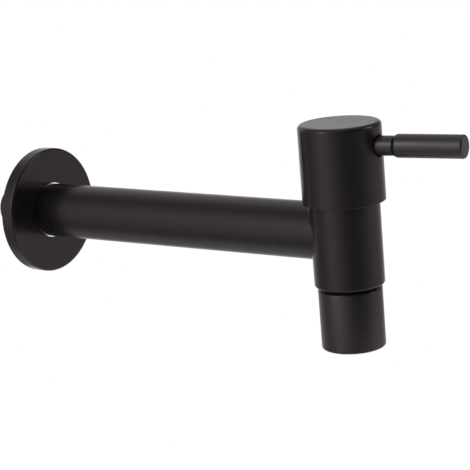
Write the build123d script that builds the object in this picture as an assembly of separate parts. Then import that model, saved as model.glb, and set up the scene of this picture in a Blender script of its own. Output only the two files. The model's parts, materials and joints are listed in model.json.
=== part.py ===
from build123d import *
import os
from math import cos, radians, sin

# Driving dimensions, in millimetres and degrees.
# The wall face is the plane Y = 0 and the tap stands out from it towards -Y.
# Heights are counted from the axis of the long tube, up is +Z.

REACH = 178.0             # wall face to the axis of the upright body
TUBE_R = 13.0
TUBE_WALL = 1.5
BODY_R = 15.75
BODY_TOP = 20.0
BODY_BOTTOM = -23.5
BODY_EDGE = 1.3           # rounding of the body's lower edge
BODY_BEVEL = 0.8
BOSS_END = 17.5           # body axis to the seam with the tube
SADDLE = 1.5              # rounding where the boss leaves the body

CAP_R = 18.5
CAP_BOTTOM = 14.5
CAP_TOP = 49.65
CAP_WALL = 2.2
CAP_CEILING = 3.7
CAP_EDGE = 1.9
CAP_LIP_EDGE = 0.3

LEVER_Z = 39.5
LEVER_TURN = 8.0          # lever's lead over the tube's line, less than half a spline tooth
STEM_R = 4.4
GRIP_R = 5.2
GRIP_START = 25.6         # body axis to the grip's inner end
GRIP_END = 58.0
GRIP_NOSE = 1.7           # length of the cone at the grip's inner end
GRIP_EDGE = 0.8

NOZZLE_R = 14.4
NOZZLE_TOP = -25.0
NOZZLE_BOTTOM = -52.0
NOZZLE_EDGE = 1.1
NOZZLE_BEVEL = 0.4

FLANGE_R = 30.5
FLANGE_DEPTH = 6.5
FLANGE_SHEET = 1.2
FLANGE_BEND = 1.1
FLANGE_BORE_R = 13.45

HALF_INCH_R = 10.4775     # crest radius of a G1/2 thread
THREE_QUARTER_R = 13.22   # crest radius of a G3/4 thread
INLET_LENGTH = 21.0
INLET_BORE_R = 7.0
INLET_LEAD = 1.2
COLLAR = 3.0              # wall face to the end of the tube
PLUG_END = 15.0           # depth of the nipple's plug in the tube
PLUG_LEAD = 1.0

QUARTER_TURN = 90.0
SPLINE_TEETH = 20
SLIP = 0.05               # radial gap of a fit that is assembled by hand

# The side outlet of the tube into the body.
SPIGOT_END = 27.0
SPIGOT_LEAD = 0.8
SPIGOT_R = TUBE_R - TUBE_WALL - SLIP
PORT_R = 7.0
TUBE_RING_R = 0.85        # radius of the rubber's own round section
TUBE_GROOVE_R = 9.75
TUBE_GROOVE = (20.6, 22.9)

# The chamber for the valve's headwork, from its seat up to the body's mouth.
SEAT_Z = -12.0
SEAT_HOLE_R = 5.5
SEAT_WEB = 2.5
CHAMBER_R = 9.45
GALLERY_R = 12.3
GALLERY_HALF = 7.8
THREAD_BOTTOM = 9.0
MOUTH_CHAMFER = 1.85
MOUTH_RING_R = 0.8
OUTLET_R = 9.0
OUTLET_END = -36.8
NECK_R = 12.2
NECK_BOTTOM = -25.6
THREAD_RUN_OUT = 0.5
THREAD_LEAD = 0.9

# The headwork: housing, discs and spindle.
BARREL_R = 9.2
BARREL_BORE_R = 8.2
BARREL_BOTTOM = -11.2
WINDOW_Z = (-3.0, 4.6)
WINDOW_WIDE = 11.0
DISC_R = 8.0
KEY_R = 9.1
KEY_WIDE = 2.8
KEY_PLAY = 0.2
SEAL_TOP = -9.4
FIXED_TOP = -6.6
MOVING_TOP = -3.2
PORT_IN_R = 2.9
PORT_OUT_R = 6.6
PORT_SPAN = 80.0
TANG_WIDE = 5.0
TANG_PLAY = 0.1
TANG_LONG = 14.4
TANG_DEPTH = 1.3
SHOULDER_R = 7.6
SHOULDER_Z = (3.2, 5.0)
BARREL_STEP = 5.8
SPINDLE_R = 4.95
RING_GROOVES = (10.0, 14.0)
GROOVE_WIDE = 1.7
GROOVE_R = 3.75
SMALL_RING_R = 0.6
RELIEF_R = 9.63           # thread relief that holds the outer seal ring
HEX_FLATS = 19.0
HEX_COLLAR_R = 11.4
HEX_Z = (21.2, 27.0)
HOUSING_TOP = 28.6
CLIP_Z = (28.7, 29.5)
CLIP_R = 6.0
CLIP_GROOVE_R = 4.0
CLIP_GAP = 36.0
SPLINE_BOTTOM = 29.8
SPLINE_TOP = 42.0
SPLINE_R = 4.0
SPLINE_DEPTH = 0.4
STOP_Z = (29.9, 32.3)
STOP_RING_R = 6.0
STOP_LUG_R = 7.7
STOP_LUG_SPAN = 40.0
STOP_LUG_ROOT = 0.5       # how far the lug reaches into its ring
STOP_PLAY = 0.5
STOP_ARC_R = (6.3, 7.9)
STOP_ARC_TOP = 31.0

# The handle's hub.
HUB_R = 8.6
HUB_BOTTOM = 32.6
INSERT_R = 6.5
INSERT_TOP = 44.4
INSERT_GAP = 0.2          # room above the insert
LEVER_BOSS_R = 6.5
STUD_R = 3.0
STEM_SEAT = 17.4
STEM_RECESS_R = 5.2
STUD_IN = 9.6
STUD_BEVEL = 0.6
CORE_END = 50.0
DRILL_POINT = 0.5         # depth of the cone at the bottom of the grip's hole
SCREW_Z = 38.0
SCREW_R = 2.5
SCREW_BOSS_R = 4.6
SCREW_SPAN = (6.6, 16.6)
SCREW_SOCKET = 2.5
SOCKET_DEEP = 2.5
SCREW_TIP = 1.0
SCREW_BEVEL = 0.5

# The nozzle's inside.
NOZZLE_BORE_R = THREE_QUARTER_R + 0.06
STACK_R = 13.05
WASHER_THICK = 2.0
WASHER_BORE_R = 8.8
STRAINER_THICK = 0.5
DOME_DEEP = 2.2
DOME_CROWN_R = 4.5
NOZZLE_STEP = -40.7
INSERT_BODY_R = 11.5
INSERT_BORE_R = 10.4
LIP_TOP = -49.2
LIP_R = 10.2
LIP_BEVEL = 0.6
CELL_PITCH = 2.9
CELL_FLATS = 2.3
CELL_RINGS = 3
CELLS_TOP = -44.2


def turned(outline):
    """Turn a closed outline of (radius, height) points about the Z axis."""
    points = [(radius, 0, height) for radius, height in outline]
    return revolve(make_face(Polyline(*points, close=True)), Axis.Z)


def tube_between(inner, outer, low, high):
    """A plain ring or pipe; an inner radius of 0 gives a solid rod."""
    return turned([(inner, low), (outer, low), (outer, high), (inner, high)])


def rod(radius, low, high):
    return tube_between(0, radius, low, high)


def bar_between(width, length, low, high):
    """A square-edged bar centred on the axis: width along X, length along Y."""
    return Pos(0, 0, (low + high) / 2) * Box(width, length, high - low)


def rubber_ring(centre_r, section_r, height):
    """A seal ring; its round section is drawn with eight sides, two of them along the axis."""
    corner = section_r / cos(radians(22.5))
    outline = []
    for side in range(8):
        angle = radians(45 * side + 22.5)
        outline.append((centre_r + corner * cos(angle), height + corner * sin(angle)))
    return turned(outline)


def ring_sector(inner, outer, start, span, low, high):
    """Part of a flat ring, from a start angle through a span, anticlockwise from +X."""
    inside = CenterArc((0, 0), inner, start, span)
    outside = CenterArc((0, 0), outer, start, span)
    sides = [Line(inside @ end, outside @ end) for end in (0, 1)]
    face = make_face([inside, outside, *sides])
    return Pos(0, 0, low) * extrude(face, high - low)


def spline_bar(gap, low, high):
    """A toothed bar; a gap larger than 0 makes the tool that cuts its socket."""
    step = 180 / SPLINE_TEETH
    points = []
    for corner in range(2 * SPLINE_TEETH):
        radius = SPLINE_R + gap - (SPLINE_DEPTH if corner % 2 else 0)
        angle = radians(corner * step)
        points.append((radius * cos(angle), radius * sin(angle)))
    face = make_face(Polyline(*points, close=True))
    return Pos(0, 0, low) * extrude(face, high - low)


def hexagon_bar(flats, low, high):
    face = RegularPolygon(flats / 2, 6, major_radius=False)
    return Pos(0, 0, low) * extrude(face, high - low)


def circles_at(solid, radius, height):
    """The round edges of one radius at one height."""
    found = []
    for edge in solid.edges().filter_by(GeomType.CIRCLE):
        if abs(edge.radius - radius) < 0.01 and abs(edge.arc_center.Z - height) < 0.01:
            found.append(edge)
    return found


def saddle_edges(solid):
    """The edges where the horizontal boss meets the upright barrel."""
    found = []
    for edge in solid.edges():
        place = edge @ 0.5
        from_axis = (place.X ** 2 + place.Y ** 2) ** 0.5
        from_tube = (place.X ** 2 + place.Z ** 2) ** 0.5
        if abs(from_axis - BODY_R) < 0.01 and abs(from_tube - TUBE_R) < 0.01:
            found.append(edge)
    return found


def valve_body():
    """Upright brass body: headwork chamber above, hose thread below, side spigot for the tube."""
    outside = turned([
        (0, OUTLET_END),
        (THREE_QUARTER_R - THREAD_LEAD, OUTLET_END),
        (THREE_QUARTER_R, OUTLET_END + THREAD_LEAD),
        (THREE_QUARTER_R, NECK_BOTTOM - THREAD_RUN_OUT),
        (NECK_R, NECK_BOTTOM),
        (NECK_R, BODY_BOTTOM),
        (BODY_R, BODY_BOTTOM),
        (BODY_R, BODY_TOP - BODY_BEVEL),
        (BODY_R - BODY_BEVEL, BODY_TOP),
        (0, BODY_TOP),
    ])
    outside = fillet(circles_at(outside, BODY_R, BODY_BOTTOM), BODY_EDGE)
    spigot = turned([
        (0, 0),
        (TUBE_R, 0),
        (TUBE_R, BOSS_END),
        (SPIGOT_R, BOSS_END),
        (SPIGOT_R, TUBE_GROOVE[0]),
        (TUBE_GROOVE_R, TUBE_GROOVE[0]),
        (TUBE_GROOVE_R, TUBE_GROOVE[1]),
        (SPIGOT_R, TUBE_GROOVE[1]),
        (SPIGOT_R, SPIGOT_END - SPIGOT_LEAD),
        (SPIGOT_R - SPIGOT_LEAD, SPIGOT_END),
        (0, SPIGOT_END),
    ])
    inside = turned([
        (0, OUTLET_END),
        (OUTLET_R, OUTLET_END),
        (OUTLET_R, SEAT_Z - 2 * SEAT_WEB),
        (SEAT_HOLE_R, SEAT_Z - SEAT_WEB),
        (SEAT_HOLE_R, SEAT_Z),
        (CHAMBER_R, SEAT_Z),
        (CHAMBER_R, -GALLERY_HALF),
        (GALLERY_R, -GALLERY_HALF),
        (GALLERY_R, GALLERY_HALF),
        (CHAMBER_R, GALLERY_HALF),
        (HALF_INCH_R + SLIP, THREAD_BOTTOM),
        (HALF_INCH_R + SLIP, BODY_TOP - MOUTH_CHAMFER),
        (HALF_INCH_R + SLIP + MOUTH_CHAMFER, BODY_TOP),
        (0, BODY_TOP),
    ])
    towards_wall = Rot(-90, 0, 0)
    body = outside + towards_wall * spigot
    body = fillet(saddle_edges(body), SADDLE)
    return body - inside - towards_wall * rod(PORT_R, 0, SPIGOT_END)


def wall_tube():
    return tube_between(TUBE_R - TUBE_WALL, TUBE_R, COLLAR, REACH - BOSS_END)


def inlet_nipple():
    """Brazed into the tube's wall end: a plug, a collar and the G1/2 spigot."""
    return turned([
        (INLET_BORE_R, -INLET_LENGTH),
        (HALF_INCH_R - INLET_LEAD, -INLET_LENGTH),
        (HALF_INCH_R, INLET_LEAD - INLET_LENGTH),
        (HALF_INCH_R, 0),
        (TUBE_R, 0),
        (TUBE_R, COLLAR),
        (SPIGOT_R, COLLAR),
        (SPIGOT_R, PLUG_END - PLUG_LEAD),
        (SPIGOT_R - PLUG_LEAD, PLUG_END),
        (INLET_BORE_R, PLUG_END),
    ])


def wall_flange():
    """Pressed cover plate: a flat ring with a rolled edge, open at the back."""
    sheet = turned([
        (FLANGE_BORE_R, FLANGE_DEPTH - FLANGE_SHEET),
        (FLANGE_R - FLANGE_SHEET, FLANGE_DEPTH - FLANGE_SHEET),
        (FLANGE_R - FLANGE_SHEET, 0),
        (FLANGE_R, 0),
        (FLANGE_R, FLANGE_DEPTH),
        (FLANGE_BORE_R, FLANGE_DEPTH),
    ])
    return fillet(circles_at(sheet, FLANGE_R, FLANGE_DEPTH), FLANGE_BEND)


def headwork_housing():
    """Brass shell of the valve: barrel with side windows, thread, hexagon and stop arc."""
    shell = turned([
        (BARREL_BORE_R, BARREL_BOTTOM),
        (BARREL_R, BARREL_BOTTOM),
        (BARREL_R, THREAD_BOTTOM - THREAD_RUN_OUT),
        (HALF_INCH_R, THREAD_BOTTOM + THREAD_LEAD),
        (HALF_INCH_R, BODY_TOP - MOUTH_CHAMFER),
        (RELIEF_R, BODY_TOP - MOUTH_CHAMFER),
        (RELIEF_R, BODY_TOP),
        (HEX_COLLAR_R, BODY_TOP),
        (HEX_COLLAR_R, HEX_Z[0]),
        (STOP_ARC_R[1], HEX_Z[0]),
        (STOP_ARC_R[1], HOUSING_TOP),
        (SPINDLE_R + SLIP, HOUSING_TOP),
        (SPINDLE_R + SLIP, BARREL_STEP),
        (BARREL_BORE_R, BARREL_STEP),
    ])
    hexagon = hexagon_bar(HEX_FLATS, *HEX_Z) - rod(SPINDLE_R + SLIP, *HEX_Z)
    # The arc leaves the stop ring's lug a quarter turn, with a little play at each end.
    lug_room = STOP_LUG_SPAN + QUARTER_TURN + 2 * STOP_PLAY
    arc_start = QUARTER_TURN + STOP_LUG_SPAN / 2 + STOP_PLAY
    arc = ring_sector(*STOP_ARC_R, arc_start, 360 - lug_room, HOUSING_TOP, STOP_ARC_TOP)
    window = bar_between(WINDOW_WIDE, 4 * BARREL_R, *WINDOW_Z)
    key_slot = bar_between(4 * BARREL_R, KEY_WIDE + 2 * KEY_PLAY, BARREL_BOTTOM, FIXED_TOP)
    return shell + hexagon + arc - window - key_slot


def port_pair(angle, low, high):
    """The two facing sector ports of a ceramic disc."""
    first = ring_sector(PORT_IN_R, PORT_OUT_R, angle - PORT_SPAN / 2, PORT_SPAN, low, high)
    return first + Rot(0, 0, 180) * first


def fixed_disc():
    """Keyed in the housing; its ports face the wall and the room."""
    disc = rod(DISC_R, SEAL_TOP, FIXED_TOP)
    keys = bar_between(2 * KEY_R, KEY_WIDE, SEAL_TOP, FIXED_TOP)
    return disc + keys - port_pair(90, SEAL_TOP, FIXED_TOP)


def moving_disc():
    """Closed at rest: its ports stand a quarter turn from the fixed disc's."""
    disc = rod(DISC_R, FIXED_TOP, MOVING_TOP)
    slot = bar_between(TANG_WIDE + 2 * TANG_PLAY, 3 * DISC_R, MOVING_TOP - TANG_DEPTH, MOVING_TOP)
    return disc - port_pair(0, FIXED_TOP, MOVING_TOP) - slot


def spindle():
    """Tang, shoulder, grooved stem and splined end, turned from one bar."""
    outline = [(0, SHOULDER_Z[0]), (SHOULDER_R, SHOULDER_Z[0]), (SHOULDER_R, SHOULDER_Z[1]),
               (SPINDLE_R, SHOULDER_Z[1])]
    for low in RING_GROOVES:
        outline += [(SPINDLE_R, low), (GROOVE_R, low),
                    (GROOVE_R, low + GROOVE_WIDE), (SPINDLE_R, low + GROOVE_WIDE)]
    outline += [
        (SPINDLE_R, CLIP_Z[0] - SLIP),
        (CLIP_GROOVE_R, CLIP_Z[0] - SLIP),
        (CLIP_GROOVE_R, CLIP_Z[1] + SLIP),
        (SPINDLE_R, CLIP_Z[1] + SLIP),
        (SPINDLE_R, SPLINE_BOTTOM),
        (0, SPLINE_BOTTOM),
    ]
    tang = bar_between(TANG_WIDE, TANG_LONG, MOVING_TOP - TANG_DEPTH + SLIP, SHOULDER_Z[0])
    return turned(outline) + tang + spline_bar(0, SPLINE_BOTTOM, SPLINE_TOP)


def spindle_o_rings():
    """Two loose rings, one in each groove of the spindle."""
    centre = GROOVE_R + SMALL_RING_R
    rings = [rubber_ring(centre, SMALL_RING_R, low + GROOVE_WIDE / 2) for low in RING_GROOVES]
    return Compound(children=rings)


def retaining_clip():
    """Open snap ring in the spindle's groove."""
    return ring_sector(CLIP_GROOVE_R + SLIP, CLIP_R, CLIP_GAP / 2, 360 - CLIP_GAP, *CLIP_Z)


def stop_ring():
    """Splined ring whose lug meets the housing's arc at each end of the quarter turn."""
    lug = ring_sector(STOP_RING_R - STOP_LUG_ROOT, STOP_LUG_R, -STOP_LUG_SPAN / 2, STOP_LUG_SPAN, *STOP_Z)
    return rod(STOP_RING_R, *STOP_Z) + lug - spline_bar(SLIP, *STOP_Z)


def across(piece, height):
    """Lay a piece made along Z down, to run out along the lever from the body's axis."""
    return Pos(0, 0, height) * Rot(90, 0, 0) * piece


def handle_cap():
    """Hollow cap with a hub for the spline, a boss for the lever and one for the screw."""
    cup = rod(CAP_R, CAP_BOTTOM, CAP_TOP)
    cup = fillet(circles_at(cup, CAP_R, CAP_TOP), CAP_EDGE)
    cup = fillet(circles_at(cup, CAP_R, CAP_BOTTOM), CAP_LIP_EDGE)
    ceiling = CAP_TOP - CAP_CEILING
    hollow = rod(CAP_R - CAP_WALL, CAP_BOTTOM, ceiling)
    middle = CAP_R - 0.5 * CAP_WALL
    hub = rod(HUB_R, HUB_BOTTOM, ceiling)
    lever_boss = across(rod(LEVER_BOSS_R, 0, middle), LEVER_Z)
    screw_boss = Rot(0, 0, 180) * across(rod(SCREW_BOSS_R, 0, middle), SCREW_Z)
    inner = hub + lever_boss + screw_boss
    cap = cup - hollow + inner
    cap -= rod(INSERT_R, CAP_BOTTOM, INSERT_TOP)
    cap -= across(rod(STUD_R + SLIP, 0, CAP_R), LEVER_Z)
    cap -= across(rod(STEM_RECESS_R, STEM_SEAT, CAP_R + 1), LEVER_Z)
    cap -= Rot(0, 0, 180) * across(rod(SCREW_R + SLIP, 0, CAP_R + 1), SCREW_Z)
    return Rot(0, 0, LEVER_TURN) * cap


def spline_insert():
    bush = rod(INSERT_R - SLIP, HUB_BOTTOM, INSERT_TOP - INSERT_GAP)
    return bush - spline_bar(SLIP, HUB_BOTTOM, INSERT_TOP)


def grub_screw():
    """Set screw with a hexagon socket, opposite the lever."""
    low, high = SCREW_SPAN
    screw = turned([
        (0, low), (SCREW_R - SCREW_TIP, low), (SCREW_R, low + SCREW_TIP),
        (SCREW_R, high - SCREW_BEVEL), (SCREW_R - SCREW_BEVEL, high), (0, high),
    ])
    screw -= hexagon_bar(SCREW_SOCKET, high - SOCKET_DEEP, high)
    return Rot(0, 0, LEVER_TURN + 180) * across(screw, SCREW_Z)


def lever_stem():
    """Pin with a threaded stud at each end: one in the cap, one in the grip."""
    pin = turned([
        (0, STUD_IN), (STUD_R - STUD_BEVEL, STUD_IN), (STUD_R, STUD_IN + STUD_BEVEL),
        (STUD_R, STEM_SEAT), (STEM_R, STEM_SEAT), (STEM_R, GRIP_START), (STUD_R, GRIP_START),
        (STUD_R, CORE_END - STUD_BEVEL), (STUD_R - STUD_BEVEL, CORE_END), (0, CORE_END),
    ])
    return Rot(0, 0, LEVER_TURN) * across(pin, LEVER_Z)


def lever_grip():
    grip = turned([
        (STUD_R + SLIP, GRIP_START), (STEM_R, GRIP_START), (GRIP_R, GRIP_START + GRIP_NOSE),
        (GRIP_R, GRIP_END), (0, GRIP_END), (0, CORE_END + 2 * DRILL_POINT),
        (STUD_R + SLIP, CORE_END + DRILL_POINT),
    ])
    grip = fillet(circles_at(grip, GRIP_R, GRIP_END), GRIP_EDGE)
    return Rot(0, 0, LEVER_TURN) * across(grip, LEVER_Z)


def nozzle_sleeve():
    """Smooth sleeve over the hose thread; its lip holds the honeycomb from below."""
    sleeve = turned([
        (NOZZLE_BORE_R, NOZZLE_TOP),
        (NOZZLE_R - NOZZLE_BEVEL, NOZZLE_TOP),
        (NOZZLE_R, NOZZLE_TOP - NOZZLE_BEVEL),
        (NOZZLE_R, NOZZLE_BOTTOM),
        (LIP_R + LIP_BEVEL, NOZZLE_BOTTOM),
        (LIP_R, NOZZLE_BOTTOM + LIP_BEVEL),
        (LIP_R, LIP_TOP),
        (INSERT_BODY_R + SLIP, LIP_TOP),
        (INSERT_BODY_R + SLIP, NOZZLE_STEP),
        (NOZZLE_BORE_R, NOZZLE_STEP),
    ])
    return fillet(circles_at(sleeve, NOZZLE_R, NOZZLE_BOTTOM), NOZZLE_EDGE)


def nozzle_washer():
    return tube_between(WASHER_BORE_R, STACK_R, OUTLET_END - WASHER_THICK, OUTLET_END)


def strainer_disc():
    """Steel sieve, pressed into a shallow dome, between the washer and the honeycomb."""
    top = OUTLET_END - WASHER_THICK
    low = top - STRAINER_THICK
    return turned([
        (0, low - DOME_DEEP), (DOME_CROWN_R, low - DOME_DEEP), (WASHER_BORE_R, low),
        (STACK_R, low), (STACK_R, top), (WASHER_BORE_R, top),
        (DOME_CROWN_R, top - DOME_DEEP), (0, top - DOME_DEEP),
    ])


def flow_straightener():
    """Plastic cup with a honeycomb floor, which sits on the sleeve's step and lip."""
    flange_top = OUTLET_END - WASHER_THICK - STRAINER_THICK
    cup = turned([
        (0, LIP_TOP), (INSERT_BODY_R, LIP_TOP), (INSERT_BODY_R, NOZZLE_STEP),
        (STACK_R, NOZZLE_STEP), (STACK_R, flange_top), (INSERT_BORE_R, flange_top),
        (INSERT_BORE_R, CELLS_TOP), (0, CELLS_TOP),
    ])
    cell = hexagon_bar(CELL_FLATS, LIP_TOP, CELLS_TOP)
    cells = []
    for column in range(-CELL_RINGS, CELL_RINGS + 1):
        rows = 2 * CELL_RINGS + 1 - abs(column)
        for row in range(rows):
            along = (row - (rows - 1) / 2) * CELL_PITCH
            cells.append(Pos(column * CELL_PITCH * cos(radians(30)), along, 0) * cell)
    return cup - cells


def tube_o_ring():
    centre = TUBE_GROOVE_R + TUBE_RING_R
    middle = REACH - (TUBE_GROOVE[0] + TUBE_GROOVE[1]) / 2
    return rubber_ring(centre, TUBE_RING_R, middle)


def headwork_o_ring():
    return rubber_ring(RELIEF_R + MOUTH_RING_R, MOUTH_RING_R, BODY_TOP - MOUTH_RING_R)


def seat_seal():
    return tube_between(SEAT_HOLE_R, DISC_R, SEAT_Z, SEAL_TOP)


def thrust_washer():
    return tube_between(SPINDLE_R + SLIP, SHOULDER_R, SHOULDER_Z[1], BARREL_STEP)


upright = Pos(0, -REACH, 0)
out_of_wall = Rot(90, 0, 0)

pieces = {
    "valve_body": upright * valve_body(),
    "wall_tube": out_of_wall * wall_tube(),
    "inlet_nipple": out_of_wall * inlet_nipple(),
    "tube_o_ring": out_of_wall * tube_o_ring(),
    "headwork_housing": upright * headwork_housing(),
    "headwork_o_ring": upright * headwork_o_ring(),
    "seat_seal": upright * seat_seal(),
    "fixed_disc": upright * fixed_disc(),
    "moving_disc": upright * moving_disc(),
    "spindle": upright * spindle(),
    "thrust_washer": upright * thrust_washer(),
    "spindle_o_rings": upright * spindle_o_rings(),
    "retaining_clip": upright * retaining_clip(),
    "stop_ring": upright * stop_ring(),
    "handle_cap": upright * handle_cap(),
    "spline_insert": upright * spline_insert(),
    "grub_screw": upright * grub_screw(),
    "lever_stem": upright * lever_stem(),
    "lever_grip": upright * lever_grip(),
    "wall_flange": out_of_wall * wall_flange(),
    "nozzle_washer": upright * nozzle_washer(),
    "strainer_disc": upright * strainer_disc(),
    "flow_straightener": upright * flow_straightener(),
    "nozzle_sleeve": upright * nozzle_sleeve(),
}

os.makedirs("parts", exist_ok=True)
for name, piece in pieces.items():
    export_step(piece, f"parts/{name}.step")
    print(f"{name}: {piece.volume:.1f} mm3")
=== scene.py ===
# %% [markdown]
# # A black wall tap for a washing machine
# The tap screws into a pipe in the wall. A long tube carries the water out to an upright valve
# body, a round cap with a side lever opens it, and a nozzle below covers the thread for the hose.
# The imported model is the frame: every piece here is placed by it, in metres, with the wall at
# Y = 0, the tube along -Y and up along +Z.

import json
from math import cos, pi, radians, sin

import bmesh
import bpy
from mathutils import Matrix, Vector


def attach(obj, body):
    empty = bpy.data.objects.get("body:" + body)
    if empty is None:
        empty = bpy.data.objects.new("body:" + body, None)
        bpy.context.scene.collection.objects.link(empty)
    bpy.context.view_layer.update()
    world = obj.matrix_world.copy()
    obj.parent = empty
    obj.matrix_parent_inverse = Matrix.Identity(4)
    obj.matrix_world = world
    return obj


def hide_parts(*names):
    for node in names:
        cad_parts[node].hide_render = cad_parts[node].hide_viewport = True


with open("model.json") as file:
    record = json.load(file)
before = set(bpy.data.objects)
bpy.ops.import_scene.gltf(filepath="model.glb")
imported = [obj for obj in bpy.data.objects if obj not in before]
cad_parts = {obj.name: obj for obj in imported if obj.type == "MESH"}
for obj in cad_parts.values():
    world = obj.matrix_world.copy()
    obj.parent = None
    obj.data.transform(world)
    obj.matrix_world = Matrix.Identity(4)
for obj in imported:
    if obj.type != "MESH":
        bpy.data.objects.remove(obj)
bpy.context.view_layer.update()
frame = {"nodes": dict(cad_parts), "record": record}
MM = 0.001
BODY_AXIS = Vector((0, -178 * MM, 0))
print("nodes:", len(frame["nodes"]))

# %% [markdown]
# ## The camera
# The photograph was taken with a long lens from in front of the wall, a little above the tap, and
# the camera was tipped by a few degrees. A camera in Blender looks along its own -Z axis, so its
# three axes are worked out from two angles and the tip, and written as the columns of a matrix.
# That is easier to read than three Euler angles, and each number keeps a plain meaning.

# %% Set the camera
SENSOR = 36.0
LENS = 141.7
CAMERA_TURN = radians(36.693)
CAMERA_RISE = radians(12.997)
CAMERA_TIP = radians(-4.731)
CAMERA_DISTANCE = 853.945 * MM
LOOK_AT = Vector((0, -116.699 * MM, -5.276 * MM))

towards_camera = Vector((
    -cos(CAMERA_TURN) * cos(CAMERA_RISE),
    -sin(CAMERA_TURN) * cos(CAMERA_RISE),
    sin(CAMERA_RISE),
))
level_right = Vector((sin(CAMERA_TURN), -cos(CAMERA_TURN), 0))
level_up = towards_camera.cross(level_right)
camera_right = cos(CAMERA_TIP) * level_right + sin(CAMERA_TIP) * level_up
camera_up = cos(CAMERA_TIP) * level_up - sin(CAMERA_TIP) * level_right

camera_data = bpy.data.cameras.new("camera")
camera_data.lens = LENS
camera_data.sensor_width = SENSOR
camera_data.clip_start = 0.01
camera_data.clip_end = 20
camera = bpy.data.objects.new("camera", camera_data)
camera_axes = Matrix((camera_right, camera_up, towards_camera)).transposed().to_4x4()
camera.matrix_world = Matrix.Translation(LOOK_AT + CAMERA_DISTANCE * towards_camera) @ camera_axes
bpy.context.scene.collection.objects.link(camera)
bpy.context.scene.camera = camera
bpy.context.scene.view_settings.view_transform = "Standard"
print("camera at", [round(value, 4) for value in camera.matrix_world.translation])


# %% [markdown]
# ## A short way to write nodes
# A material is a small machine of nodes. These helpers add a node and fill its inputs, each with a
# plain value or with a wire from another node. So a material below reads as a list of what it is
# made of.

# %% Node helpers
def add_node(tree, kind, values=None, **settings):
    """Adds a node. Settings are its properties; values fill its inputs, by name or by number."""
    made = tree.nodes.new(kind)
    for name, value in settings.items():
        setattr(made, name, value)
    for name, value in (values or {}).items():
        if isinstance(value, bpy.types.NodeSocket):
            join(tree, value, made.inputs[name])
        else:
            made.inputs[name].default_value = value
    return made


def join(tree, start, end):
    """Wires an output to an input."""
    tree.links.new(start, end)


def calculate(tree, operation, *terms):
    """A Math node on sockets or plain numbers; gives its result back as a socket."""
    made = add_node(tree, "ShaderNodeMath", dict(enumerate(terms)), operation=operation)
    return made.outputs["Value"]


def group_socket(tree, name, way, kind="NodeSocketFloat", value=None):
    """Gives a group an input or an output, and an input its usual value."""
    made = tree.interface.new_socket(name=name, in_out=way, socket_type=kind)
    if value is not None:
        made.default_value = value


print("node helpers ready")

# %% [markdown]
# ## What the black gloss mirrors
# A black tube shows its shape only through what stands round it. So the gloss mirrors a sum of soft
# glows, each with a turn from the camera, a rise and a brightness, all of one faintly pink white.
# A glow is brightest in its middle and fades smoothly, so it never draws a hard edge on the coat.

# %% Name the glows
GLOW_SHARPNESS = 8.0
GLOW_TINT = (1.0, 0.90, 0.94)
GLOWS = (
    (-150, 10, 0.57),
    (-132, 0, 0.26),
    (-60, -10, 0.70),
    (-60, 30, 1.01),
    (-30, -10, 0.29),
    (90, -10, 0.44),
    (150, -10, 0.44),
    (180, 50, 0.62),
    (-120, -50, 0.47),
    (0, -50, 0.37),
    (60, -50, 0.88),
    (120, -50, 0.57),
    (0, 85, 0.62),
)


def direction_to(turn, rise):
    """A unit vector; turn is counted from the camera, positive to its right, rise from level."""
    angle = CAMERA_TURN + pi + radians(turn)
    level = cos(radians(rise))
    return Vector((cos(angle) * level, sin(angle) * level, sin(radians(rise))))


print("glows:", len(GLOWS))

# %% [markdown]
# ## The studio
# The photograph has a pure white backdrop. It is the world's colour for rays from the camera, and
# for glossy rays that run on behind the tap, so no extra light is needed to make it white. Other
# glossy rays meet the glows. Rays that leave a matt surface find an even light, so that a colour
# looks about as it is written.

# %% Light the world
WHITE = (1, 1, 1, 1)
EVEN_LIGHT = 1.0
BACKDROP_LIGHT = 1.0
BACKDROP_TURN = 180
BACKDROP_RISE = -13
BACKDROP_CORE = radians(12)
BACKDROP_REACH = radians(38)

world = bpy.data.worlds.new("studio")
bpy.context.scene.world = world
world.use_nodes = True
studio = world.node_tree
studio.nodes.clear()
looking = add_node(studio, "ShaderNodeTexCoord").outputs["Generated"]
ray = add_node(studio, "ShaderNodeLightPath").outputs


def nearness(turn, rise):
    """The cosine of the angle between where a ray goes and the given direction."""
    facing = add_node(studio, "ShaderNodeVectorMath",
                      {0: looking, 1: direction_to(turn, rise)}, operation="DOT_PRODUCT")
    return facing.outputs["Value"]


glow_sum = 0.0
for turn, rise, brightness in GLOWS:
    fade = calculate(studio, "MULTIPLY_ADD", nearness(turn, rise), GLOW_SHARPNESS, -GLOW_SHARPNESS)
    glow = calculate(studio, "EXPONENT", fade)
    glow_sum = calculate(studio, "MULTIPLY_ADD", glow, brightness, glow_sum)
tinted = add_node(studio, "ShaderNodeVectorMath", {0: GLOW_TINT, "Scale": glow_sum},
                  operation="SCALE")
glowing = add_node(studio, "ShaderNodeBackground", {"Color": tinted.outputs["Vector"]})
even = add_node(studio, "ShaderNodeBackground", {"Color": WHITE, "Strength": EVEN_LIGHT})
white = add_node(studio, "ShaderNodeBackground", {"Color": WHITE, "Strength": BACKDROP_LIGHT})

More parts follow.
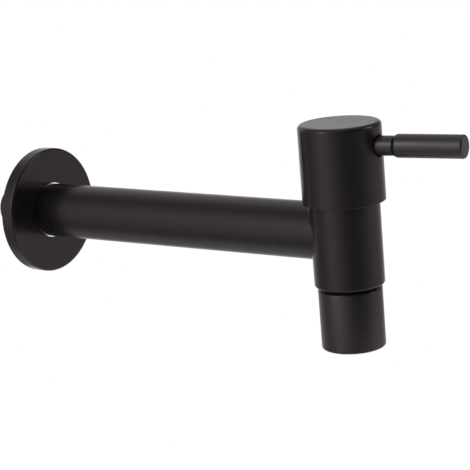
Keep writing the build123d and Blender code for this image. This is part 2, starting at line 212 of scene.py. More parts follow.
backdrop = add_node(studio, "ShaderNodeMapRange", {
    "Value": nearness(BACKDROP_TURN, BACKDROP_RISE),
    "From Min": cos(BACKDROP_REACH), "From Max": cos(BACKDROP_CORE),
}, interpolation_type="SMOOTHSTEP")
seen = calculate(studio, "MAXIMUM", ray["Is Camera Ray"], ray["Is Transmission Ray"])
mirrored = calculate(studio, "MULTIPLY", ray["Is Glossy Ray"], backdrop.outputs["Result"])
for_matt = add_node(studio, "ShaderNodeMixShader", {
    "Fac": ray["Is Diffuse Ray"],
    1: glowing.outputs["Background"], 2: even.outputs["Background"]})
for_view = add_node(studio, "ShaderNodeMixShader", {
    "Fac": calculate(studio, "MAXIMUM", seen, mirrored),
    1: for_matt.outputs["Shader"], 2: white.outputs["Background"]})
add_node(studio, "ShaderNodeOutputWorld", {"Surface": for_view.outputs["Shader"]})
print("studio nodes:", len(studio.nodes))

# %% [markdown]
# ## The softboxes
# Two soft lamps stand where the highlights in the photograph say. A tall one to the left of the
# camera and above it draws the band that runs down the cap and along the lever. A square one high
# on the right lights the far end of the cap's rim. A lamp is given its brightness as seen in a
# mirror, and the power that Blender wants follows from its area.

# %% Place the softboxes
MIDDLE = Vector((0, -120 * MM, 0))
SOFTBOX_DISTANCE = 0.95


def softbox(name, turn, rise, width, height, brightness):
    """A soft lamp that faces the tap. Turn is counted from the camera, positive to its right."""
    away = direction_to(turn, rise)
    lamp = bpy.data.lights.new(name, "AREA")
    lamp.shape = "RECTANGLE"
    lamp.size = width
    lamp.size_y = height
    lamp.energy = brightness * pi * width * height
    holder = bpy.data.objects.new(name, lamp)
    holder.rotation_mode = "QUATERNION"
    holder.rotation_quaternion = away.to_track_quat("Z", "Y")
    holder.location = MIDDLE + SOFTBOX_DISTANCE * away
    bpy.context.scene.collection.objects.link(holder)
    print(name, "power", round(lamp.energy, 2), "W")


softbox("left_softbox", turn=-52, rise=28, width=0.20, height=0.60, brightness=2.70)
softbox("right_softbox", turn=90, rise=30, width=0.30, height=0.30, brightness=3.00)

# %% [markdown]
# ## The floor
# A tap on a wall has no floor near it, but black gloss needs something pale below to mirror. A pale
# disc lies far under the tap and fades out at its rim, so that it never draws a line across the
# view. Seen from below it is clear, so that a camera under the tap still sees it.

# %% Lay the floor
FLOOR_DROP = 1.20
FLOOR_RADIUS = 1.50
FADE_FROM = 0.55
FADE_TO = 0.98
FLOOR_PALE = (0.62, 0.62, 0.62, 1)


def floor_material():
    """Pale and matt; clear beyond its rim and from below."""
    material = bpy.data.materials.new("pale_floor")
    material.use_nodes = True
    tree = material.node_tree
    tree.nodes.clear()
    place = add_node(tree, "ShaderNodeTexCoord").outputs["Object"]
    far = add_node(tree, "ShaderNodeVectorMath", {0: place}, operation="LENGTH")
    rim = add_node(tree, "ShaderNodeMapRange", {
        "Value": far.outputs["Value"],
        "From Min": FADE_FROM * FLOOR_RADIUS, "From Max": FADE_TO * FLOOR_RADIUS,
    }, interpolation_type="SMOOTHSTEP")
    below = add_node(tree, "ShaderNodeNewGeometry").outputs["Backfacing"]
    pale = add_node(tree, "ShaderNodeBsdfDiffuse", {"Color": FLOOR_PALE})
    clear = add_node(tree, "ShaderNodeBsdfTransparent")
    mix = add_node(tree, "ShaderNodeMixShader", {
        "Fac": calculate(tree, "MAXIMUM", rim.outputs["Result"], below),
        1: pale.outputs["BSDF"], 2: clear.outputs["BSDF"]})
    add_node(tree, "ShaderNodeOutputMaterial", {"Surface": mix.outputs["Shader"]})
    return material


disc = bmesh.new()
bmesh.ops.create_circle(disc, cap_ends=True, segments=96, radius=FLOOR_RADIUS)
floor_mesh = bpy.data.meshes.new("floor")
disc.to_mesh(floor_mesh)
disc.free()
floor = bpy.data.objects.new("floor", floor_mesh)
floor.location = (0, MIDDLE.y, -FLOOR_DROP)
floor_mesh.materials.append(floor_material())
bpy.context.scene.collection.objects.link(floor)
print("floor", FLOOR_DROP, "m below the tube")


# %% [markdown]
# ## Fine grain, shared by the finishes
# No real surface is perfectly smooth. A satin coating has a grain of a few tenths of a millimetre
# and slow clouds where it went on thicker. Every finish needs the same two, each at its own
# strength, so they are one node group: it gives a height for a Bump node and a cloud value for
# colour and roughness.

# %% Build the grain group
GRAIN_SCALE = 2500.0
CLOUD_SCALE = 60.0


def build_grain_group():
    tree = bpy.data.node_groups.new("fine_grain", "ShaderNodeTree")
    group_socket(tree, "Grain Scale", "INPUT", value=GRAIN_SCALE)
    group_socket(tree, "Cloud Scale", "INPUT", value=CLOUD_SCALE)
    group_socket(tree, "Height", "OUTPUT")
    group_socket(tree, "Clouds", "OUTPUT")
    given = add_node(tree, "NodeGroupInput").outputs
    place = add_node(tree, "ShaderNodeTexCoord").outputs["Object"]
    grain = add_node(tree, "ShaderNodeTexNoise", {
        "Vector": place, "Scale": given["Grain Scale"], "Detail": 3.0, "Roughness": 0.6})
    clouds = add_node(tree, "ShaderNodeTexNoise", {
        "Vector": place, "Scale": given["Cloud Scale"], "Detail": 2.0, "Roughness": 0.5})
    add_node(tree, "NodeGroupOutput", {
        "Height": grain.outputs["Fac"], "Clouds": clouds.outputs["Fac"]})
    return tree


fine_grain = build_grain_group()
print("group:", fine_grain.name)


# %% [markdown]
# ## Tool marks, shared by what is turned or drawn
# A lathe tool leaves fine rings across the axis it turned about, and a die leaves fine lines along
# a drawn tube. Both are a noise that changes in some directions and hardly in others. So the place
# is multiplied by a vector first: (0, 0, 1) leaves only the height, which draws rings round an
# upright piece, and a small middle number stretches the noise along the tube.

# %% Build the tool marks group
MARKS_SCALE = 1200.0


def build_marks_group():
    tree = bpy.data.node_groups.new("tool_marks", "ShaderNodeTree")
    group_socket(tree, "Across", "INPUT", "NodeSocketVector")
    group_socket(tree, "Marks per metre", "INPUT", value=MARKS_SCALE)
    group_socket(tree, "Height", "OUTPUT")
    given = add_node(tree, "NodeGroupInput").outputs
    place = add_node(tree, "ShaderNodeTexCoord").outputs["Object"]
    stretched = add_node(tree, "ShaderNodeVectorMath", {0: place, 1: given["Across"]},
                         operation="MULTIPLY")
    lines = add_node(tree, "ShaderNodeTexNoise", {
        "Vector": stretched.outputs["Vector"], "Scale": given["Marks per metre"],
        "Detail": 2.0, "Roughness": 0.7})
    add_node(tree, "NodeGroupOutput", {"Height": lines.outputs["Fac"]})
    return tree


tool_marks = build_marks_group()
print("group:", tool_marks.name)


# %% [markdown]
# ## One recipe for the finishes
# Every finish is a Principled shader with grain. The recipe takes a colour, how much the clouds may
# change it, how rough the surface is, and how deep the grain and the tool marks are in metres.
# Values that are the same all over, such as the index of refraction, sit on the shader's own
# sockets.

# %% The finish recipe
CLOUDS_LOW = 0.3
CLOUDS_HIGH = 0.7
UP = (0, 0, 1)
NO_TINT = (1, 1, 1)


def finish(name, colour, cloud_colour=None, rough=(0.4, 0.5), metal=0.0, ior=1.5, tint=NO_TINT,
           grain=0.0, marks=0.0, across=UP, marks_scale=MARKS_SCALE):
    """A material: colour and cloud_colour blend by the clouds, rough is its range over them."""
    material = bpy.data.materials.new(name)
    material.use_nodes = True
    tree = material.node_tree
    texture = add_node(tree, "ShaderNodeGroup", node_tree=fine_grain)
    texture.inputs["Grain Scale"].default_value = GRAIN_SCALE
    texture.inputs["Cloud Scale"].default_value = CLOUD_SCALE
    clouds = texture.outputs["Clouds"]
    paint = add_node(tree, "ShaderNodeMix", {
        "Factor": clouds, "A": (*colour, 1), "B": (*(cloud_colour or colour), 1),
    }, data_type="RGBA")
    roughness = add_node(tree, "ShaderNodeMapRange", {
        "Value": clouds, "From Min": CLOUDS_LOW, "From Max": CLOUDS_HIGH,
        "To Min": rough[0], "To Max": rough[1]})
    bump = add_node(tree, "ShaderNodeBump", {
        "Strength": 1.0, "Distance": grain, "Height": texture.outputs["Height"]})
    if marks:
        lines = add_node(tree, "ShaderNodeGroup", {
            "Across": across, "Marks per metre": marks_scale}, node_tree=tool_marks)
        bump = add_node(tree, "ShaderNodeBump", {
            "Strength": 1.0, "Distance": marks, "Height": lines.outputs["Height"],
            "Normal": bump.outputs["Normal"]})
    surface = tree.nodes["Principled BSDF"].inputs
    surface["Metallic"].default_value = metal
    surface["IOR"].default_value = ior
    surface["Specular Tint"].default_value = (*tint, 1)
    join(tree, paint.outputs["Result"], surface["Base Color"])
    join(tree, roughness.outputs["Result"], surface["Roughness"])
    join(tree, bump.outputs["Normal"], surface["Normal"])
    return material


print("finish recipe ready")

# %% [markdown]
# ## The finishes
# The outside is brass under a satin black coating: nearly black, with a soft sheen. The coat is
# thin, so the pieces keep a trace of how they were made: rings from the lathe on the nozzle, fine
# lines along the drawn tube, and faint rings round the flange's rim and the lever. The threads are
# rougher and a little greyer. Inside are bare brass, white ceramic, rubber, white and grey
# plastics, and bright and black steel.

# %% Make the finishes
COAT = (0.0060, 0.0052, 0.0057)
COAT_THICK = (0.0068, 0.0059, 0.0064)
TURNED_COAT = (0.0070, 0.0062, 0.0066)
THREAD_COAT = (0.022, 0.019, 0.021)
THREAD_COAT_THICK = (0.034, 0.029, 0.031)
WARM_SHEEN = (1.0, 0.93, 0.98)
ALONG_TUBE = (0, 1, 0)
DRAWN = (1, 0.02, 1)
COATED = {"tint": WARM_SHEEN, "grain": 0.000003}

satin_black = finish("satin_black", COAT, COAT_THICK, rough=(0.25, 0.30), ior=1.47,
                     marks=0.000002, marks_scale=900.0, **COATED)
drawn_black = finish("drawn_black", COAT, COAT_THICK, rough=(0.25, 0.30), ior=1.47,
                     marks=0.000010, across=DRAWN, marks_scale=700.0, **COATED)
flange_black = finish("flange_black", COAT, COAT_THICK, rough=(0.17, 0.21), ior=1.52,
                      marks=0.00005, across=ALONG_TUBE, **COATED)
turned_black = finish("turned_black", TURNED_COAT, rough=(0.31, 0.37), ior=1.62,
                      marks=0.00012, marks_scale=900.0, **COATED)
lever_black = finish("lever_black", TURNED_COAT, rough=(0.31, 0.37), ior=1.62,
                     marks=0.00001, across=ALONG_TUBE, **COATED)
black_thread = finish("black_thread", THREAD_COAT, THREAD_COAT_THICK, rough=(0.42, 0.55),
                      tint=WARM_SHEEN, grain=0.000008)
bare_brass = finish("bare_brass", (0.60, 0.40, 0.14), (0.66, 0.45, 0.18), rough=(0.22, 0.34),
                    metal=1.0, grain=0.000003, marks=0.000004)
seal_rubber = finish("seal_rubber", (0.012, 0.012, 0.012), (0.02, 0.02, 0.02),
                     rough=(0.55, 0.7), grain=0.00001)
white_ceramic = finish("white_ceramic", (0.80, 0.79, 0.75), (0.84, 0.83, 0.80),
                       rough=(0.12, 0.2), grain=0.000001)
white_acetal = finish("white_acetal", (0.72, 0.72, 0.70), (0.76, 0.76, 0.74),
                      rough=(0.35, 0.45), grain=0.000004)
grey_plastic = finish("grey_plastic", (0.16, 0.165, 0.17), (0.18, 0.185, 0.19),
                      rough=(0.35, 0.45), grain=0.000004)
stainless_steel = finish("stainless_steel", (0.55, 0.54, 0.52), (0.6, 0.59, 0.57),
                         rough=(0.25, 0.35), metal=1.0, grain=0.000004)
black_steel = finish("black_steel", (0.03, 0.03, 0.032), (0.045, 0.045, 0.045),
                     rough=(0.35, 0.45), metal=1.0, grain=0.000006)
finish_of = {
    "black_coating": satin_black,
    "bare_brass": bare_brass,
    "seal_rubber": seal_rubber,
    "white_ceramic": white_ceramic,
    "white_acetal": white_acetal,
    "grey_plastic": grey_plastic,
    "stainless_steel": stainless_steel,
    "black_steel": black_steel,
}
print("finishes:", ", ".join(finish_of))

# %% [markdown]
# ## Turning a shape from its outline
# A pipe thread, a nozzle and a ring all come off a lathe, so they are made as a lathe makes them: a
# closed outline of radius and height is carried round the Z axis. Where a thread will be cut, the
# outline is divided finely, because a cut can only be as sharp as the rings it moves.

# %% The lathe
AROUND = 128
CREASE = 35
FINE_STEP = 0.17


def fine_run(radius, start, end):
    """Points down or up a straight wall, close enough for a thread to be cut in it."""
    pieces = max(1, round(abs(end - start) / FINE_STEP))
    return [(radius, start + (end - start) * number / pieces) for number in range(pieces + 1)]


def corner_arc(centre, radius, start, end, steps):
    """Points on an arc about a centre of (radius, height); angles in degrees from the outside."""
    points = []
    for number in range(steps + 1):
        angle = radians(start + (end - start) * number / steps)
        points.append((centre[0] + radius * cos(angle), centre[1] + radius * sin(angle)))
    return points


def shade(mesh, crease=CREASE):
    """Shades a mesh smooth, but for edges sharper than the crease."""
    mesh.polygons.foreach_set("use_smooth", [True] * len(mesh.polygons))
    mesh.set_sharp_from_angle(angle=radians(crease))


def finished_mesh(name, shape, crease=CREASE):
    """A shaded mesh from a shape, with its faces turned outwards."""
    bmesh.ops.recalc_face_normals(shape, faces=shape.faces)
    mesh = bpy.data.meshes.new(name)
    shape.to_mesh(mesh)
    shape.free()
    shade(mesh, crease)
    return mesh


def lathe(name, outline):
    """A closed mesh from a closed outline of (radius, height) in millimetres, turned about Z."""
    shape = bmesh.new()
    rings = []
    for step in range(AROUND):
        angle = 2 * pi * step / AROUND
        rings.append([
            shape.verts.new((radius * MM * cos(angle), radius * MM * sin(angle), height * MM))
            for radius, height in outline])
    for step in range(AROUND):
        here, there = rings[step], rings[(step + 1) % AROUND]
        for corner in range(len(outline)):
            after = (corner + 1) % len(outline)
            shape.faces.new((here[corner], there[corner], there[after], here[after]))
    return finished_mesh(name, shape)


print("lathe ready,", AROUND, "steps round")

# %% [markdown]
# ## Pieces made by a node tree
# Geometry Nodes suit whatever follows a rule. Each tree below has named inputs for its sizes, and
# the helpers here are what the trees share. The first gives a mesh to a tree, sets the inputs,
# keeps what comes out as a plain mesh and takes the modifier away. An input is set by its socket's
# identifier, because its name is only a label.

# %% Run a tree
def grown(name, start, tree, values):
    """The mesh that a node tree makes from a start mesh, with the values given by input name."""
    holder = bpy.data.objects.new(name, start)
    bpy.context.scene.collection.objects.link(holder)
    maker = holder.modifiers.new("maker", "NODES")
    maker.node_group = tree
    for socket in tree.interface.items_tree:
        if socket.in_out == "INPUT" and socket.name in values:
            maker[socket.identifier] = values[socket.name]
    ready = holder.evaluated_get(bpy.context.evaluated_depsgraph_get())
    mesh = bpy.data.meshes.new_from_object(ready)
    bpy.data.objects.remove(holder)
    shade(mesh)
    return mesh


def coordinates(tree):
    """The x, y and z of each point."""
    place = add_node(tree, "GeometryNodeInputPosition").outputs["Position"]
    return add_node(tree, "ShaderNodeSeparateXYZ", {"Vector": place}).outputs


def distance_out(tree, x, y):
    """How far a point is from the Z axis."""
    return calculate(tree, "SQRT", calculate(tree, "ADD", calculate(tree, "MULTIPLY", x, x),
                                             calculate(tree, "MULTIPLY", y, y)))


def vector_of(tree, **parts):
    """A vector from its X, Y and Z; a part that isn't given is nought."""
    return add_node(tree, "ShaderNodeCombineXYZ", parts).outputs["Vector"]


def finish_tree(tree, geometry, material):
    """Every tree ends the same way: instances made real, then the material."""
    real = add_node(tree, "GeometryNodeRealizeInstances", {"Geometry": geometry})
    dressed = add_node(tree, "GeometryNodeSetMaterial", {
        "Geometry": real.outputs["Geometry"], "Material": material})
    add_node(tree, "NodeGroupOutput", {"Geometry": dressed.outputs["Geometry"]})


print("tree helpers ready")

# %% [markdown]
# ## The pipe thread
# A pipe thread is one groove that winds along a cylinder: 14 turns to the inch, with flanks at 55
# degrees and rounded crests. In a tree it is a rule for each point. Its height in turns, less its
# angle in turns, is a number that grows by one from crest to crest, and the fraction of it says how
# deep the point sinks. The groove fades out at both ends, as it does where a die runs off the work.

# %% Build the thread tree
INCH = 25.4
TURNS_TO_THE_INCH = 14
THREAD_PITCH = INCH / TURNS_TO_THE_INCH
THREAD_DEPTH = 0.6403 * THREAD_PITCH
FLANK_TOP = 0.88
FLANK_FOOT = 0.12
HAIR = 0.02


def build_thread_tree():
    tree = bpy.data.node_groups.new("cut_thread", "GeometryNodeTree")
    group_socket(tree, "Geometry", "INPUT", "NodeSocketGeometry")
    for name in ("Crest Radius", "Depth", "Pitch", "Start", "End", "Run Out"):
        group_socket(tree, name, "INPUT")
    group_socket(tree, "Material", "INPUT", "NodeSocketMaterial")
    group_socket(tree, "Geometry", "OUTPUT", "NodeSocketGeometry")
    given = add_node(tree, "NodeGroupInput").outputs
    x, y, z = coordinates(tree)
    radius = distance_out(tree, x, y)
    angle = calculate(tree, "DIVIDE", calculate(tree, "ARCTAN2", y, x), 2 * pi)
    turns = calculate(tree, "SUBTRACT", calculate(tree, "DIVIDE", z, given["Pitch"]), angle)
    saw = calculate(tree, "FRACT", turns)
    flank = calculate(tree, "ABSOLUTE", calculate(tree, "MULTIPLY_ADD", saw, 2.0, -1.0))
    groove = add_node(tree, "ShaderNodeMapRange", {
        "Value": flank, "From Min": FLANK_TOP, "From Max": FLANK_FOOT,
    }, interpolation_type="SMOOTHSTEP")
    cut = calculate(tree, "MULTIPLY", groove.outputs["Result"], given["Depth"])
    for end, way in (("Start", "ADD"), ("End", "SUBTRACT")):
        full = calculate(tree, way, given[end], given["Run Out"])
        fade = add_node(tree, "ShaderNodeMapRange", {
            "Value": z, "From Min": given[end], "From Max": full,
        }, interpolation_type="SMOOTHSTEP")
        cut = calculate(tree, "MULTIPLY", cut, fade.outputs["Result"])
    floor_of_cut = calculate(tree, "SUBTRACT", given["Crest Radius"], cut)
    shrink = calculate(tree, "DIVIDE", calculate(tree, "MINIMUM", radius, floor_of_cut), radius)
    within = calculate(tree, "LESS_THAN", radius,
                       calculate(tree, "ADD", given["Crest Radius"], HAIR * MM))
    put = add_node(tree, "GeometryNodeSetPosition", {
        "Geometry": given["Geometry"],
        "Selection": within,
        "Position": vector_of(tree, X=calculate(tree, "MULTIPLY", x, shrink),
                              Y=calculate(tree, "MULTIPLY", y, shrink), Z=z),
    })
    finish_tree(tree, put.outputs["Geometry"], given["Material"])
    return tree


cut_thread = build_thread_tree()


def threaded(name, outline, crest, start, end, material, run_out=1.6):
    """A turned piece with a pipe thread between two heights, all in millimetres."""
    return grown(name, lathe(name, outline), cut_thread, {
        "Crest Radius": crest * MM, "Depth": THREAD_DEPTH * MM, "Pitch": THREAD_PITCH * MM,
        "Start": start * MM, "End": end * MM, "Run Out": run_out * MM, "Material": material})


print("thread: pitch", round(THREAD_PITCH, 3), "mm, depth", round(THREAD_DEPTH, 3), "mm")

# %% [markdown]
# ## Put a new piece on the tap
# A finished mesh is moved to its place, so that its object can stay at the origin as the frame's
# own pieces do. Then it rides on its body, and the frame's node that it stands for is hidden.

# %% Piece helper
UPRIGHT = Matrix.Translation(BODY_AXIS)
OUT_OF_WALL = Matrix.Rotation(radians(90), 4, "X")


def add_piece(name, mesh, place, material, slot, body, *nodes):
    """Links a mesh as a piece of the tap and prints how many faces it has."""
    mesh.transform(place)
    mesh.name = name
    mesh.materials.clear()
    mesh.materials.append(material)
    piece = bpy.data.objects.new(name, mesh)
    bpy.context.scene.collection.objects.link(piece)
    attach(piece, body)
    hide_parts(*nodes)
    print(name, len(mesh.polygons), "faces on", body)


print("piece helper ready")

# %% [markdown]
# ## The inlet
# The end that goes into the wall is a nipple: a collar that meets the tube, and behind the flange a
# spigot with a half-inch pipe thread. It is seen from behind, and its end shows past the flange.
# Heights are counted out of the wall, and a thread is cut from a little past its free end, so that
# its groove is full there.

# %% Cut the inlet's thread
INLET_BORE_R = 7.0
INLET_CREST = 10.4775
INLET_END = -21.0
INLET_LEAD = 1.2
INLET_RUN_TOP = -0.6
INLET_THREAD_TOP = -1.0
UNDERCUT = 0.5
UNDERCUT_TOP = -0.4
TUBE_R = 13.0
COLLAR = 3.0
COLLAR_BACK_EDGE = 0.3
COLLAR_FRONT_EDGE = 0.2
PLUG_R = 11.45
PLUG_END = 15.0
PLUG_LEAD = 1.0
BORE_EDGE = 0.5
PAST_END = 2.0

inlet_outline = [
    (INLET_BORE_R + BORE_EDGE, INLET_END), (INLET_CREST - INLET_LEAD, INLET_END),
    *fine_run(INLET_CREST, INLET_END + INLET_LEAD, INLET_RUN_TOP),
    (INLET_CREST - UNDERCUT, UNDERCUT_TOP), (INLET_CREST - UNDERCUT, 0),
    (TUBE_R - COLLAR_BACK_EDGE, 0), (TUBE_R, COLLAR_BACK_EDGE),
    (TUBE_R, COLLAR - COLLAR_FRONT_EDGE), (TUBE_R - COLLAR_FRONT_EDGE, COLLAR),
    (PLUG_R, COLLAR), (PLUG_R, PLUG_END - PLUG_LEAD), (PLUG_R - PLUG_LEAD, PLUG_END),
    (INLET_BORE_R, PLUG_END), (INLET_BORE_R, INLET_END + BORE_EDGE),
]
inlet_mesh = threaded("inlet_nipple_threaded", inlet_outline, INLET_CREST,
                      INLET_END - PAST_END, INLET_THREAD_TOP, black_thread)
add_piece("inlet_nipple_threaded", inlet_mesh, OUT_OF_WALL, black_thread, "black_coating",
          "tap_body", "inlet_nipple")

# %% [markdown]
# ## The valve body and its hose thread
# The body is one brass forging: an upright barrel with a boss for the tube, a short neck and a
# three-quarter-inch thread for the hose. The frame's mesh already has the barrel right, so it is
# copied, its doubled points are merged, and it is cut at the neck. The thread below the cut is
# turned.

# %% Cut the neck and thread the spigot
BODY_R = 15.75
BODY_CREASE = 18
WELD = 0.0005
NEAR = 0.02
SAME_WAY = 0.9
OUTLET_R = 9.0
NECK_R = 12.2
NECK_CUT = -25.1
NECK_END = -25.6
SHOULDER = 0.4
SHOULDER_EDGE = 0.15
HOSE_CREST = 13.22
HOSE_END = -36.8
THREAD_LEAD = 0.9


def cad_copy(node):
    """A welded copy of a frame node's mesh, as a bmesh."""
    shape = bmesh.new()
    shape.from_mesh(frame["nodes"][node].data)
    bmesh.ops.remove_doubles(shape, verts=shape.verts, dist=WELD * MM)
    return shape


def round_normals(mesh, cylinders):
    """Gives corners on the cylinders true round normals; the rest keep their own."""
    normals = []
    for face in mesh.polygons:
        for number in face.vertices:
            normal = Vector()
            for centre, axis, radius in cylinders:
                out = mesh.vertices[number].co - centre
                out -= out.dot(axis) * axis
                on_it = abs(out.length - radius * MM) < NEAR * MM
                if on_it and out.normalized().dot(face.normal) > SAME_WAY:
                    normal = out.normalized()
            normals.append(normal)
    mesh.normals_split_custom_set(normals)
    return sum(normal.length > 0 for normal in normals)


shell = cad_copy("valve_body")
everything = [*shell.verts, *shell.edges, *shell.faces]
bmesh.ops.bisect_plane(shell, geom=everything, plane_co=(0, 0, NECK_CUT * MM),
                       plane_no=(0, 0, -1), clear_outer=True)
bmesh.ops.bridge_loops(shell, edges=[edge for edge in shell.edges if edge.is_boundary])
print("open edges after the cut:", sum(edge.is_boundary for edge in shell.edges))
barrel_mesh = finished_mesh("valve_body_barrel", shell, BODY_CREASE)
rounded = round_normals(barrel_mesh, ((BODY_AXIS, Vector((0, 0, 1)), BODY_R),
                                      (Vector(), Vector((0, 1, 0)), TUBE_R)))
print("corners on true cylinders:", rounded, "of", len(barrel_mesh.loops))
add_piece("valve_body_barrel", barrel_mesh, Matrix(), satin_black, "black_coating",
          "tap_body", "valve_body")

spigot_outline = [
    (OUTLET_R, NECK_CUT), (NECK_R, NECK_CUT), (NECK_R, NECK_END),
    (HOSE_CREST - SHOULDER_EDGE, NECK_END - SHOULDER),
    *fine_run(HOSE_CREST, NECK_END - SHOULDER - SHOULDER_EDGE, HOSE_END + THREAD_LEAD),
    (HOSE_CREST - THREAD_LEAD, HOSE_END),
    (OUTLET_R + BORE_EDGE, HOSE_END), (OUTLET_R, HOSE_END + BORE_EDGE),
]
spigot_mesh = threaded("hose_spigot", spigot_outline, HOSE_CREST, HOSE_END - PAST_END,
                       NECK_END - SHOULDER, black_thread)
add_piece("hose_spigot", spigot_mesh, UPRIGHT, black_thread, "black_coating",
          "tap_body", "valve_body")

# %% [markdown]
# ## The nozzle
# The sleeve screws over the hose thread by a thread of its own inside, so that the two interlock at
# every turn. Both are cut by the same tree from the same heights: a nut's groove is the bolt's
# crest with a hair of play, and the pitch ties the sleeve's turn to its travel.

# %% Turn the nozzle
NOZZLE_R = 14.4
NOZZLE_TOP = -25.0
NOZZLE_BOTTOM = -52.0
TOP_EDGE = 0.4
BOTTOM_EDGE = 1.1
LIP_EDGE = 0.6
MOUTH_EDGE = 0.3
THREAD_PLAY = 0.06
NUT_REACH = 1.5
NUT_RUN_OUT = 1.0
NOZZLE_STEP = -40.7
STRAIGHTENER_R = 11.55
LIP_TOP = -49.2
LIP_R = 10.2
nut_crest = HOSE_CREST + THREAD_PLAY

nozzle_outline = [
    (nut_crest + MOUTH_EDGE, NOZZLE_TOP),
    *corner_arc((NOZZLE_R - TOP_EDGE, NOZZLE_TOP - TOP_EDGE), TOP_EDGE, 90, 0, 3),
    *corner_arc((NOZZLE_R - BOTTOM_EDGE, NOZZLE_BOTTOM + BOTTOM_EDGE), BOTTOM_EDGE, 0, -90, 6),
    *corner_arc((LIP_R + LIP_EDGE, NOZZLE_BOTTOM + LIP_EDGE), LIP_EDGE, -90, -180, 3),
    (LIP_R, LIP_TOP), (STRAIGHTENER_R, LIP_TOP),
    (STRAIGHTENER_R, NOZZLE_STEP), (nut_crest, NOZZLE_STEP),
    *fine_run(nut_crest, HOSE_END - NUT_REACH, NOZZLE_TOP - MOUTH_EDGE),
]
nozzle_mesh = threaded("nozzle_sleeve_threaded", nozzle_outline, nut_crest, HOSE_END - NUT_REACH,
                       NOZZLE_TOP - 2 * MOUTH_EDGE, turned_black, NUT_RUN_OUT)
add_piece("nozzle_sleeve_threaded", nozzle_mesh, UPRIGHT, turned_black, "black_coating",
          "nozzle", "nozzle_sleeve")

# %% [markdown]
# ## Nets of hexagons
# The jet leaves through a honeycomb, and above it sits a fine steel strainer. Both are the same net
# at different sizes. A slanted grid, cut into equal triangles, has a hexagon round each of its
# points: that is its dual. Every hexagon is given a smaller one inside, which is then taken out as
# the hole. The flat net is drawn down into a dome where one is asked for, and last it gets its
# thickness.

# %% Build the hexagon net tree
NET_POINTS = 40
NET_WELD = 0.001
DOME_FLAT = 0.35


def build_net_tree():
    tree = bpy.data.node_groups.new("hexagon_net", "GeometryNodeTree")
    for name in ("Radius", "Pitch", "Web", "Thickness", "Dome"):
        group_socket(tree, name, "INPUT")
    group_socket(tree, "Material", "INPUT", "NodeSocketMaterial")
    group_socket(tree, "Geometry", "OUTPUT", "NodeSocketGeometry")
    given = add_node(tree, "NodeGroupInput").outputs
    side = calculate(tree, "MULTIPLY", given["Pitch"], NET_POINTS)
    grid = add_node(tree, "GeometryNodeMeshGrid", {
        "Size X": side, "Size Y": side,
        "Vertices X": NET_POINTS + 1, "Vertices Y": NET_POINTS + 1})
    x, y, _ = coordinates(tree)
    slanted = vector_of(tree, X=calculate(tree, "MULTIPLY_ADD", y, 0.5, x),
                        Y=calculate(tree, "MULTIPLY", y, sin(radians(60))))
    slant = add_node(tree, "GeometryNodeSetPosition", {
        "Geometry": grid.outputs["Mesh"], "Position": slanted})
    triangles = add_node(tree, "GeometryNodeTriangulate", {"Mesh": slant.outputs["Geometry"]})
    cells = add_node(tree, "GeometryNodeDualMesh", {"Mesh": triangles.outputs["Mesh"]})
    out = distance_out(tree, x, y)
    round_net = add_node(tree, "GeometryNodeDeleteGeometry", {
        "Geometry": cells.outputs["Dual Mesh"],
        "Selection": calculate(tree, "GREATER_THAN", out, given["Radius"]),
    }, domain="FACE")
    inset = add_node(tree, "GeometryNodeExtrudeMesh", {
        "Mesh": round_net.outputs["Geometry"], "Offset Scale": 0.0, "Individual": True})
    web_share = calculate(tree, "DIVIDE", given["Web"], given["Pitch"])
    shrunk = add_node(tree, "GeometryNodeScaleElements", {
        "Geometry": inset.outputs["Mesh"], "Selection": inset.outputs["Top"],
        "Scale": calculate(tree, "SUBTRACT", 1.0, web_share)})
    holes = add_node(tree, "GeometryNodeDeleteGeometry", {
        "Geometry": shrunk.outputs["Geometry"], "Selection": inset.outputs["Top"],
    }, domain="FACE")
    sag = add_node(tree, "ShaderNodeMapRange", {
        "Value": calculate(tree, "DIVIDE", out, given["Radius"]),
        "From Min": 1.0, "From Max": DOME_FLAT,
    }, interpolation_type="SMOOTHSTEP")
    drop = calculate(tree, "MULTIPLY", sag.outputs["Result"],
                     calculate(tree, "MULTIPLY", given["Dome"], -1.0))
    domed = add_node(tree, "GeometryNodeSetPosition", {
        "Geometry": holes.outputs["Geometry"], "Offset": vector_of(tree, Z=drop)})
    down = calculate(tree, "MULTIPLY", given["Thickness"], -1.0)
    thick = add_node(tree, "GeometryNodeExtrudeMesh", {
        "Mesh": domed.outputs["Geometry"], "Offset": vector_of(tree, Z=down),
        "Offset Scale": 1.0, "Individual": False})
    back = add_node(tree, "GeometryNodeFlipFaces", {"Mesh": domed.outputs["Geometry"]})
    both = add_node(tree, "GeometryNodeJoinGeometry", {"Geometry": back.outputs["Mesh"]})
    join(tree, thick.outputs["Mesh"], both.inputs["Geometry"])
    welded = add_node(tree, "GeometryNodeMergeByDistance", {
        "Geometry": both.outputs["Geometry"], "Distance": NET_WELD * MM})
    finish_tree(tree, welded.outputs["Geometry"], given["Material"])
    return tree


hexagon_net = build_net_tree()


def net(name, radius, pitch, web, thickness, dome, top, material):
    """A round net of hexagons whose upper face lies at the given height, in millimetres."""
    mesh = grown(name, bpy.data.meshes.new(name), hexagon_net, {
        "Radius": radius * MM, "Pitch": pitch * MM, "Web": web * MM,
        "Thickness": thickness * MM, "Dome": dome * MM, "Material": material})
    shape = bmesh.new()
    shape.from_mesh(mesh)
    bmesh.ops.translate(shape, verts=shape.verts, vec=(0, 0, top * MM))
    print(name, "open edges:", sum(edge.is_boundary for edge in shape.edges))
    return finished_mesh(name, shape)


print("net tree ready")

# %% [markdown]
# ## The jet straightener and the strainer
# The honeycomb is moulded in one with a cup that stands on the nozzle's step. The strainer is a
# disc of thin steel whose flat rim is clamped under the washer. Each is a turned ring with its net
# inside, joined into one mesh, because each is one piece on the real tap.

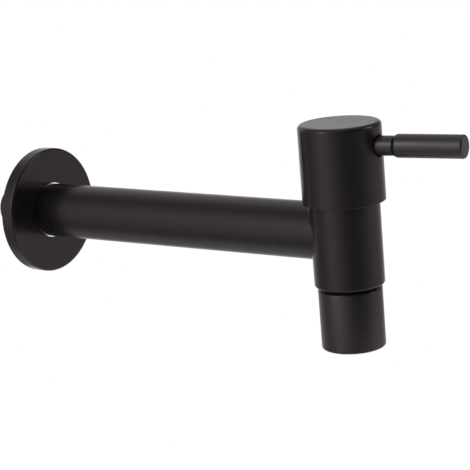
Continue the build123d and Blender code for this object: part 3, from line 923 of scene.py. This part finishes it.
# %% Make the honeycomb and the strainer
STACK_R = 13.05
WASHER_BOTTOM = -38.8
CUP_R = 11.5
CUP_BORE_R = 10.4
CUP_WALL = 0.5
CUP_GAP = 0.05
CELL_PITCH = 2.4
CELL_WEB = 0.42
CELL_EDGE = 0.9
CELLS_TOP = -44.2
STRAINER_THICK = 0.5
STRAINER_OPEN_R = 8.8
RIM_LAP = 0.4
SIEVE_EDGE = 0.3
SIEVE_PITCH = 1.0
SIEVE_WEB = 0.38
SIEVE_THICK = STRAINER_THICK * 0.7
SIEVE_DOME = 2.2
SIEVE_DROP = 0.05
strainer_bottom = WASHER_BOTTOM - STRAINER_THICK


def joined(name, *meshes):
    """One mesh from several."""
    shape = bmesh.new()
    for mesh in meshes:
        shape.from_mesh(mesh)
    return finished_mesh(name, shape)


cup_ring = lathe("cup_ring", [
    (CUP_BORE_R - CUP_WALL, LIP_TOP + CUP_GAP), (CUP_R, LIP_TOP + CUP_GAP), (CUP_R, NOZZLE_STEP),
    (STACK_R, NOZZLE_STEP), (STACK_R, strainer_bottom), (CUP_BORE_R, strainer_bottom),
    (CUP_BORE_R, CELLS_TOP), (CUP_BORE_R - CUP_WALL, CELLS_TOP)])
cell_net = net("cell_net", radius=CUP_BORE_R - CELL_EDGE, pitch=CELL_PITCH, web=CELL_WEB,
               thickness=CELLS_TOP - LIP_TOP - 2 * CUP_GAP, dome=0.0, top=CELLS_TOP - HAIR,
               material=grey_plastic)
add_piece("honeycomb_straightener", joined("honeycomb_straightener", cup_ring, cell_net),
          UPRIGHT, grey_plastic, "grey_plastic", "nozzle", "flow_straightener")

sieve_rim = lathe("sieve_rim", [
    (STRAINER_OPEN_R - RIM_LAP, strainer_bottom), (STACK_R, strainer_bottom),
    (STACK_R, WASHER_BOTTOM), (STRAINER_OPEN_R - RIM_LAP, WASHER_BOTTOM)])
sieve_net = net("sieve_net", radius=STRAINER_OPEN_R - SIEVE_EDGE, pitch=SIEVE_PITCH,
                web=SIEVE_WEB, thickness=SIEVE_THICK, dome=SIEVE_DOME,
                top=WASHER_BOTTOM - SIEVE_DROP, material=stainless_steel)
add_piece("strainer_sieve", joined("strainer_sieve", sieve_rim, sieve_net),
          UPRIGHT, stainless_steel, "stainless_steel", "nozzle", "strainer_disc")

# %% [markdown]
# ## Dress the frame's own pieces
# A piece whose shape is already right keeps its mesh and only gets its finish: the material goes
# into its object's slot, which leaves the mesh itself alone. Four pieces have a finish of their own
# within the black coating.

# %% Dress the frame
OWN_FINISH = {
    "lever_grip": lever_black,
    "lever_stem": lever_black,
    "wall_tube": drawn_black,
    "wall_flange": flange_black,
}
for part in frame["record"]["subparts"]:
    node = frame["nodes"][part["node"]]
    for number in range(len(node.material_slots)):
        node.material_slots[number].link = "OBJECT"
        node.material_slots[number].material = OWN_FINISH.get(
            part["node"], finish_of[part["material_slot"]])

# %% [markdown]
# ## Close the scene

# %% Finish
print("scene done")
